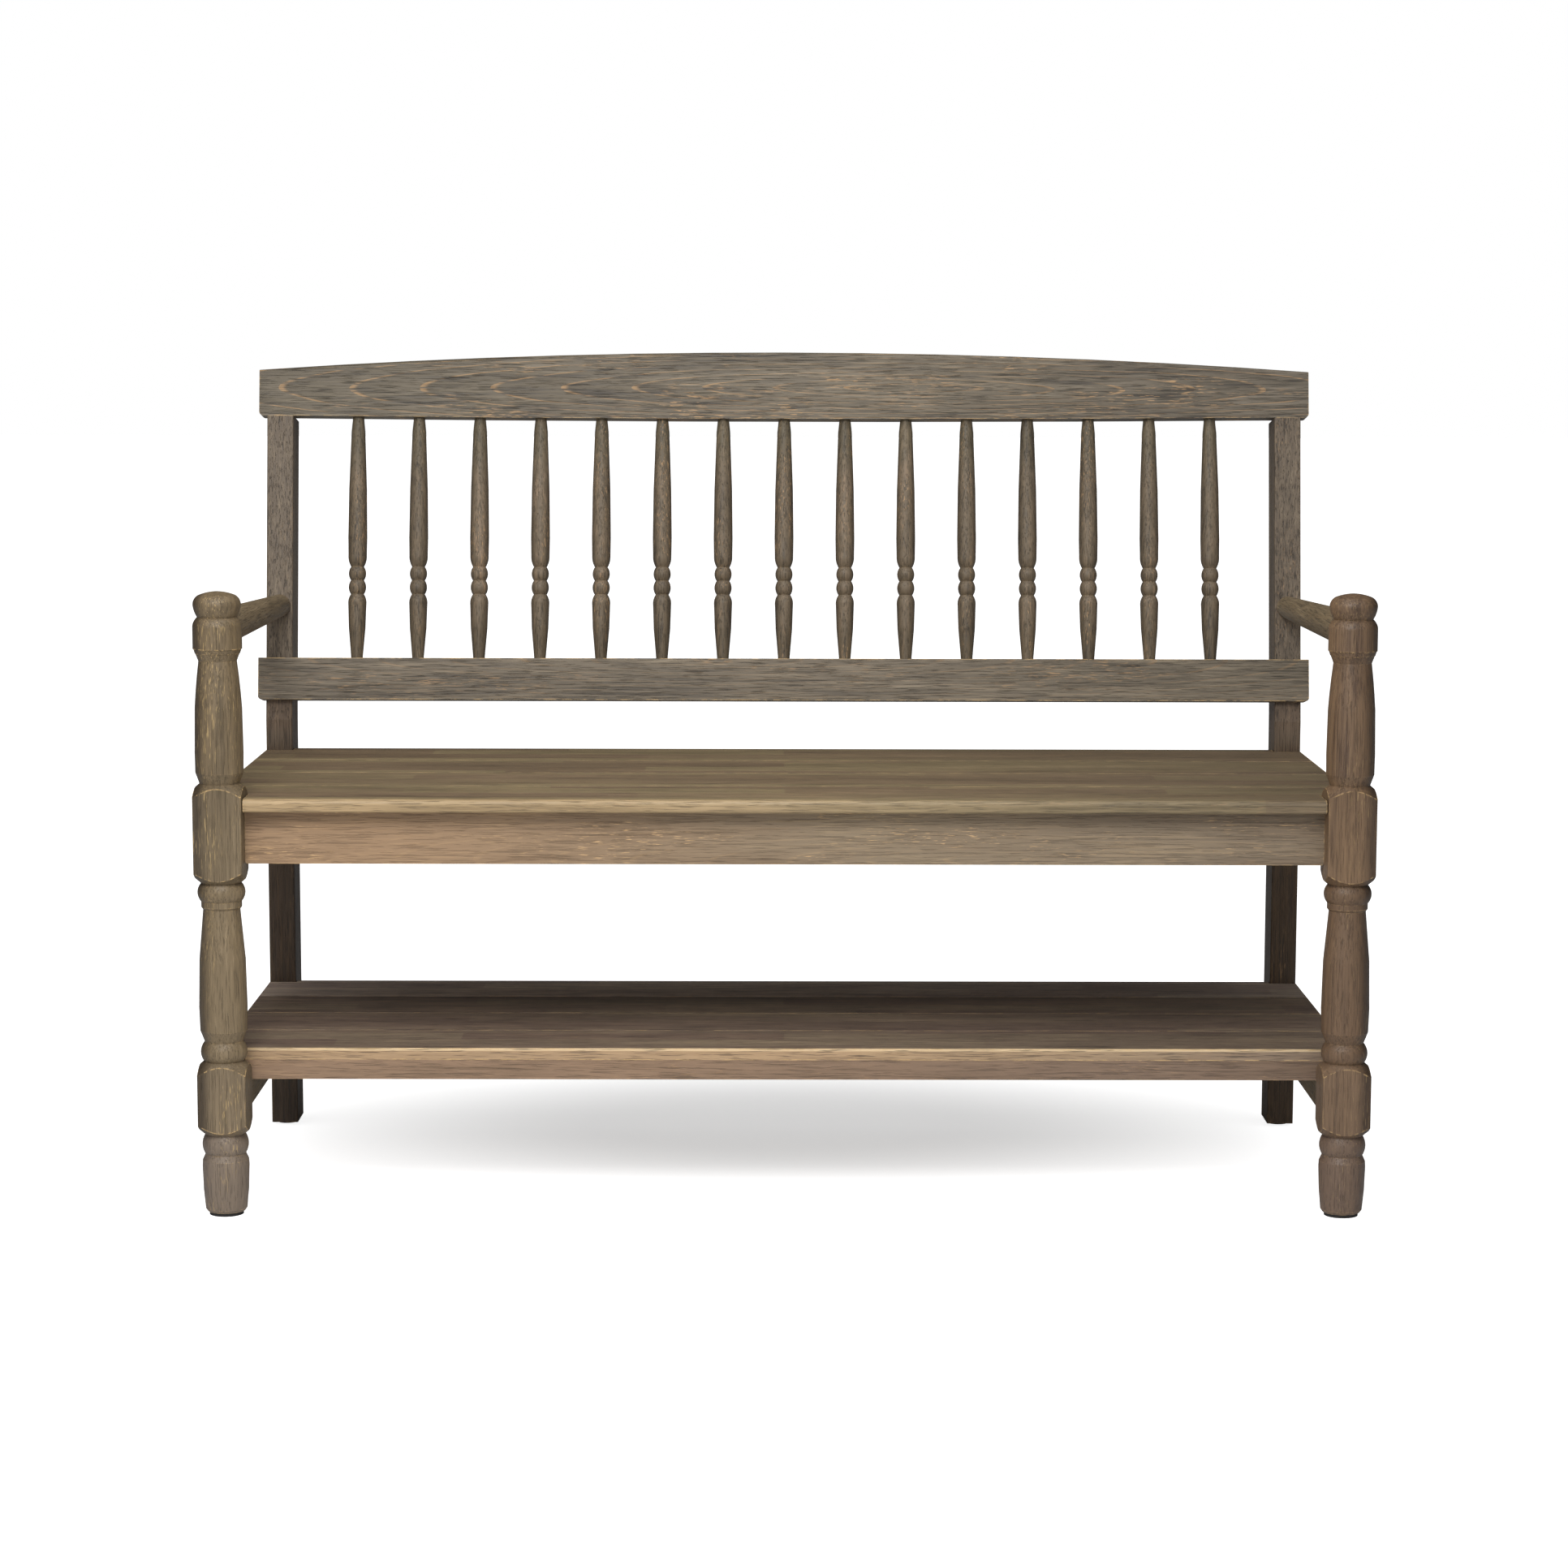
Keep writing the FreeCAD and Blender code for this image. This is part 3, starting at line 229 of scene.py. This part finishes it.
def dress_wood(node, name, grain, tones, seed, flecks=0.5, wear=0.6, lean=0.0, staves=None, rings=None,
               gloss=0.5, shade=None, figure=1.0, fleck_tone=RAW_WOOD):
    """Gives a piece its wood, with stains over it. Tones are the dark, middle and light colours. Flecks,
    wear, gloss and figure say how strong the pale flecks, the worn edges, the shine and the grain are. Lean
    is how far a board leans back. Staves are the length and width of glued strips. Rings are the place along
    and across the board of its arched grain, with the strength of that grain. Shade is a list of stains and
    of painted light and shade. Every piece also gets painted shade in its grooves and corners."""
    low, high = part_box(node)
    finish = Finish(name)
    flat, place = finish.place_along(grain, (low + high) / 2, seed, lean)
    dark, middle, light = (paint(tone) for tone in tones)

    cloud = finish.noise(place, (3.0, 24.0, 24.0), detail=4.0, rough=0.6)
    streak = finish.noise(place, (9.0, 300.0, 300.0), detail=4.0, rough=0.66, twist=0.2)
    line = finish.noise(place, (26.0, 850.0, 850.0), detail=2.0, rough=0.6)
    grained = finish.maths("MULTIPLY", finish.maths("SUBTRACT", streak, 0.5), 0.60 * figure)
    tone = finish.maths("ADD", finish.maths("MULTIPLY", cloud, 0.40), finish.maths("ADD", grained, 0.30))
    if rings:
        along, across, strength = rings
        ring = ring_wave(finish, flat, place, along, across)
        arch = finish.maths("MULTIPLY", finish.maths("SUBTRACT", ring, 0.5), strength)
        tone = finish.maths("SUBTRACT", tone, arch)

    colour = finish.blend(finish.spread(tone, 0.36, 0.51), dark, middle)
    colour = finish.blend(finish.spread(tone, 0.50, 0.66), colour, light)
    if staves:
        colour = glued_strips(finish, colour, flat, *staves, seed)
    if shade:
        colour = under_stains_and_painted_light(finish, colour, flat, cloud, shade)

    pore = finish.spread(line, 0.45, 0.35)
    dark_pore = paint(tuple(part * 0.55 for part in tones[0]))
    colour = finish.blend(finish.maths("MULTIPLY", pore, 0.65 * figure), colour, dark_pore)

    patch = finish.spread(finish.noise(place, (5.0, 26.0, 26.0), detail=2.0), 0.47, 0.62)
    fleck = finish.spread(finish.noise(place, (60.0, 900.0, 900.0), detail=2.0, rough=0.5), 0.60, 0.67)
    fleck = finish.maths("MULTIPLY", fleck, patch)
    if rings:
        crests = finish.spread(ring, 0.88, 0.96)
        ring_line = finish.maths("MULTIPLY", crests, finish.spread(streak, 0.40, 0.55))
        fleck = finish.maths("MAXIMUM", fleck, finish.maths("MULTIPLY", ring_line, 8.0 * strength))
    colour = finish.blend(finish.maths("MULTIPLY", fleck, flecks), colour, paint(fleck_tone))

    finish.feed(finish.surface.inputs["Base Color"], shaded_and_worn(finish, colour, place, wear))
    dull = 0.62 - 0.2 * gloss
    finish.feed(finish.surface.inputs["Roughness"], finish.spread(streak, 0.3, 0.7, dull, dull + 0.14))
    add_relief(finish, streak, pore)
    dress(node, finish.material)


GREY = ((64, 56, 45), (100, 90, 74), (128, 117, 100))
POST = ((64, 54, 43), (98, 85, 70), (124, 110, 92))
BACK_RAIL = ((74, 65, 52), (111, 100, 84), (141, 128, 109))
OLIVE = ((82, 69, 48), (121, 104, 78), (151, 132, 103))
REDDISH = ((78, 58, 42), (117, 93, 69), (147, 118, 88))
SPINDLE = ((69, 59, 46), (105, 91, 72), (137, 117, 95))
SEAT = ((101, 86, 63), (136, 117, 88), (165, 141, 109))
SHELF = ((100, 85, 74), (137, 118, 101), (171, 148, 123))
# Paler shelf tones for the rear board, painted light against the shade under the seat
SHELF_REAR_PAINTED_LIGHT = ((132, 116, 106), (177, 159, 145), (220, 199, 176))
APRON = ((124, 98, 72), (156, 127, 97), (191, 155, 116))
RAIL = ((111, 89, 68), (145, 118, 94), (170, 139, 108))

BACK_LEAN = math.radians(9.7)
FAR = 9.0

# Stretches of a front leg, along it from its middle
UPPER_BLOCK = (0.028, 0.132)
STEM = (-0.17, 0.02)
LOWER_BLOCK = (-0.258, -0.180)
FOOT_TOP = -0.262


def dress_back_rails():
    shade = [stain_and_painted_light("x", 0.5, FAR, 0.25, (240, 241, 246)), stain_and_painted_light("x", -FAR, -0.45, 0.25, (240, 240, 238))]
    dress_wood("crest_rail", "crest_finish", "x", GREY, 1, flecks=0.8, wear=0.5, lean=BACK_LEAN,
               rings=(0.16, 0.002, 0.09), shade=shade)
    dress_wood("lower_back_rail", "back_rail_finish", "x", BACK_RAIL, 2, flecks=0.5, wear=0.8, lean=BACK_LEAN,
               rings=(-0.15, 0.03, 0.06), shade=[stain_and_painted_light("x", 0.55, FAR, 0.55, (232, 232, 230))])


def dress_apron():
    shade = [stain_and_painted_light("x", 0.1, FAR, 0.6, (224, 241, 255)), stain_and_painted_light("x", 0.55, FAR, 0.5, (226, 226, 230))]
    dress_wood("seat_front_apron", "apron_finish", "x", APRON, 3, flecks=0.8, wear=0.4, figure=0.5,
               fleck_tone=(222, 182, 132), rings=(0.35, -0.02, 0.02), shade=shade)


def dress_seat():
    """Seat boards, each given painted shade a little darker than the one in front of it. The first has a worn
    nose and a painted highlight along its upper front edge.
    """
    front, edge = board_front("seat_board_1")
    for number in range(1, 5):
        # Painted shade: each board further back is multiplied a little darker.
        shade_level = 252 - 4 * number
        shade = [stain_and_painted_light("x", 0.6, FAR, 0.6, (222, 222, 226)),
                 stain_and_painted_light("x", -FAR, FAR, 0.1, (shade_level, shade_level, shade_level))]
        if number == 1:
            shade.append(stain_and_painted_light("y", -FAR, front + 0.004, 0.008, (212, 172, 124), 0.22, "MIX", -0.35))
            # Painted highlight: a pale band along the upper front edge of the nose.
            shade.append(stain_and_painted_light("front_top", edge - 0.0055, FAR, 0.0015, (226, 196, 148), 0.08, "MIX", -0.2))
        dress_wood(f"seat_board_{number}", f"seat_finish_{number}", "x", SEAT, 10 + number, flecks=0.35,
                   wear=0.8, staves=(0.43, 0.0415), gloss=0.8, shade=shade, figure=0.7)


def dress_shelf():
    """Shelf boards. The first has a worn front edge and a painted highlight along its upper front edge. The
    rear one has paler tones, painted light against the shade under the seat.
    """
    front, edge = board_front("shelf_board_1")
    for number in range(1, 5):
        shade = [stain_and_painted_light("x", 0.6, FAR, 0.6, (232, 232, 232))]
        if number == 1:
            shade.append(stain_and_painted_light("y", -FAR, front + 0.001, 0.002, (206, 168, 120), 0.50, "MIX", 0.1))
            # Painted highlight: a pale band along the upper front edge.
            shade.append(stain_and_painted_light("front_top", edge - 0.0022, FAR, 0.0012, (240, 212, 168), 0.70, "MIX"))
        # The rear board gets the paler tones as painted light.
        tones = SHELF_REAR_PAINTED_LIGHT if number == 4 else SHELF
        dress_wood(f"shelf_board_{number}", f"shelf_finish_{number}", "x", tones, 20 + number, flecks=0.25,
                   wear=0.9, staves=(0.37, 0.036), gloss=0.8, shade=shade)


def dress_rails_and_arms():
    """Long rails, with the grain along X, and side rails, battens and arms, with the grain along Y."""
    for number, rail in enumerate(("seat_back_rail", "shelf_front_rail", "shelf_back_rail")):
        dress_wood(rail, f"{rail}_finish", "x", RAIL, 30 + number, flecks=0.5, wear=0.3, figure=0.6,
                   shade=[stain_and_painted_light("x", 0.5, FAR, 0.8, (216, 220, 230))])
    for number, rail in enumerate((
        "seat_side_rail_left", "seat_side_rail_right", "seat_centre_rail", "shelf_side_rail_left",
        "shelf_side_rail_right", "shelf_centre_batten", "arm_left", "arm_right",
    )):
        dress_wood(rail, f"{rail}_finish", "y", OLIVE, 40 + number, flecks=0.3, wear=0.3, figure=0.8)


def dress_legs():
    """Front and rear legs. The front ones have painted shade on their outer sides and blocks, and the left
    has more flecks. The rear ones have painted shade below the seat.
    """
    sides = (
        ("left", OLIVE, 54, 1, 0.5, (234, 234, 234), (255, 255, 255), (121, 108, 100), (174, 152, 124)),
        ("right", REDDISH, 55, -1, 0.2, (255, 253, 248), (222, 218, 218), (98, 82, 74), (196, 170, 130)),
    )
    for side, tones, seed, outward, flecks, block, stem, foot, rear_low_shade in sides:
        leg = f"front_leg_{side}"
        outer = sorted((0.024 * outward, FAR * outward))
        dress_wood(leg, f"{leg}_finish", "z", tones, seed, flecks=flecks, wear=1.3 * flecks ** 0.4, gloss=0.8,
                   figure=0.6, fleck_tone=(202, 172, 116), shade=[
                       # Painted shade on the outer side of each front leg.
                       stain_and_painted_light("z", *outer, 0.016, (142, 134, 124)),
                       stain_and_painted_light("x", 0.20, FAR, 0.15, (242, 240, 238)),
                       # Painted shade darkens the flat-faced upper block.
                       stain_and_painted_light("x", *UPPER_BLOCK, 0.004, block),
                       stain_and_painted_light("x", *STEM, 0.01, stem),
                       # Painted shade darkens the flat-faced lower block.
                       stain_and_painted_light("x", *LOWER_BLOCK, 0.004, (238, 238, 242)),
                       stain_and_painted_light("x", -FAR, FOOT_TOP, 0.006, foot, 0.6, "MIX")])
        leg = f"rear_leg_{side}"
        # Painted shade: the first band darkens the rear legs below the seat.
        dress_wood(leg, f"{leg}_finish", "z", POST, seed + 10, flecks=0.3, wear=0.3, shade=[
            stain_and_painted_light("x", -FAR, 0.0, 0.05, rear_low_shade), stain_and_painted_light("x", 0.05, 0.10, 0.03, (240, 226, 216))])


def dress_spindles():
    """Spindles, darker at both ends, with painted shade at both sides."""
    for number in range(1, 16):
        spindle = f"spindle_{number:02d}"
        dress_wood(spindle, f"{spindle}_finish", "z", SPINDLE, 70 + number, flecks=0.6, wear=0.5, figure=0.8,
                   shade=[stain_and_painted_light("x", 0.13, FAR, 0.06, (222, 228, 222)),
                          stain_and_painted_light("x", -FAR, -0.13, 0.05, (228, 228, 222)),
                          # Painted shade at both sides of each spindle.
                          stain_and_painted_light("z", 0.011, FAR, 0.006, (205, 203, 200)),
                          stain_and_painted_light("z", -FAR, -0.011, 0.006, (205, 203, 200))])


def dress_glides():
    glide = glide_finish()
    for place in ("front_glide_left", "front_glide_right", "rear_glide_left", "rear_glide_right"):
        dress(place, glide)


def board_front(node):
    """Place of a board's front face along Y, and of its upper front edge along Z minus Y, from its middle."""
    low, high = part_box(node)
    return (low[1] - high[1]) / 2, (high[1] - low[1] + high[2] - low[2]) / 2


def glide_finish():
    """Near black, with a fine mottle."""
    finish = Finish("glide_finish")
    grain = finish.noise(finish.node("TexCoord").outputs["Object"], (900.0, 900.0, 900.0))
    colour = finish.blend(grain, paint((24, 22, 22)), paint((44, 42, 42)))
    finish.feed(finish.surface.inputs["Base Color"], colour)
    finish.surface.inputs["Roughness"].default_value = 0.7
    return finish.material


def add_floor():
    """Pale floor. To the camera it brightens to white away from the bench. Its glow lights nothing else."""
    half = 30.0
    corners = [(-half, -half, 0), (half, -half, 0), (half, half, 0), (-half, half, 0)]
    mesh = bpy.data.meshes.new("floor")
    mesh.from_pydata(corners, [], [(0, 1, 2, 3)])
    floor = bpy.data.objects.new("floor", mesh)
    bpy.context.scene.collection.objects.link(floor)
    finish = Finish("floor_finish")
    finish.surface.inputs["Base Color"].default_value = (0.8, 0.8, 0.8, 1.0)
    finish.surface.inputs["Roughness"].default_value = 0.9
    finish.surface.inputs["Emission Color"].default_value = (1.0, 1.0, 1.0, 1.0)
    place = finish.vector("MULTIPLY", finish.node("TexCoord").outputs["Object"], (0.6, 1.0, 1.0))
    place = finish.vector("SUBTRACT", place, (0.0, 0.2, 0.0))
    reach = finish.node("VectorMath", operation="LENGTH")
    finish.feed(reach.inputs[0], place)
    glow = finish.spread(reach.outputs["Value"], 0.12, 0.50, 0.55, 1.0)
    seen = finish.node("LightPath").outputs["Is Camera Ray"]
    finish.feed(finish.surface.inputs["Emission Strength"], finish.maths("MULTIPLY", glow, seen))
    mesh.materials.append(finish.material)


def add_world():
    """White where the camera looks past the bench. Its soft light is stronger from the front and above."""
    world = bpy.data.worlds.new("studio")
    bpy.context.scene.world = world
    world.use_nodes = True
    nodes = world.node_tree.nodes
    links = world.node_tree.links
    sky = nodes["Background"]
    sky.inputs["Color"].default_value = (1.0, 1.0, 1.0, 1.0)
    toward = nodes.new("ShaderNodeTexCoord")
    softbox = nodes.new("ShaderNodeVectorMath")
    softbox.operation = "DOT_PRODUCT"
    softbox.inputs[1].default_value = Vector((-0.10, -0.75, 0.65)).normalized()
    links.new(toward.outputs["Generated"], softbox.inputs[0])
    strength = nodes.new("ShaderNodeMapRange")
    strength.interpolation_type = "SMOOTHSTEP"
    for socket, value in zip(list(strength.inputs)[1:5], (0.0, 1.0, *WORLD_LIGHT)):
        socket.default_value = value
    links.new(softbox.outputs["Value"], strength.inputs["Value"])
    seen = nodes.new("ShaderNodeMix")
    links.new(nodes.new("ShaderNodeLightPath").outputs["Is Camera Ray"], seen.inputs[0])
    links.new(strength.outputs[0], seen.inputs[2])
    seen.inputs[3].default_value = 1.0
    links.new(seen.outputs[0], sky.inputs["Strength"])


def add_light(name, place, aim, width, watts):
    light = bpy.data.lights.new(name, "AREA")
    light.shape = "SQUARE"
    light.size = width
    light.energy = watts
    thing = bpy.data.objects.new(name, light)
    bpy.context.scene.collection.objects.link(thing)
    thing.location = place
    thing.rotation_euler = (Vector(aim) - Vector(place)).to_track_quat("-Z", "Y").to_euler()


def add_camera():
    lens = bpy.data.cameras.new("camera")
    lens.sensor_width = 36.0
    lens.lens = FOCAL_PIXELS / PICTURE_WIDTH * lens.sensor_width
    camera = bpy.data.objects.new("camera", lens)
    bpy.context.scene.collection.objects.link(camera)
    camera.matrix_world = (
        Matrix.Translation(CAMERA_PLACE)
        @ Matrix.Rotation(CAMERA_LEFT, 4, "Z")
        @ Matrix.Rotation(math.pi / 2 - CAMERA_DOWN, 4, "X")
        @ Matrix.Rotation(CAMERA_ROLL, 4, "Z")
    )
    bpy.context.scene.camera = camera


dress_back_rails()
dress_apron()
dress_seat()
dress_shelf()
dress_rails_and_arms()
dress_legs()
dress_spindles()
dress_glides()
add_floor()
add_world()
add_light("key", (-0.5, -2.2, 2.1), (0.0, -0.1, 0.45), 1.0, 46.0)
add_light("overhead", (0.0, -0.5, 2.6), (0.0, 0.0, 0.5), 1.2, 10.0)
add_camera()
bpy.context.scene.view_settings.view_transform = "Standard"
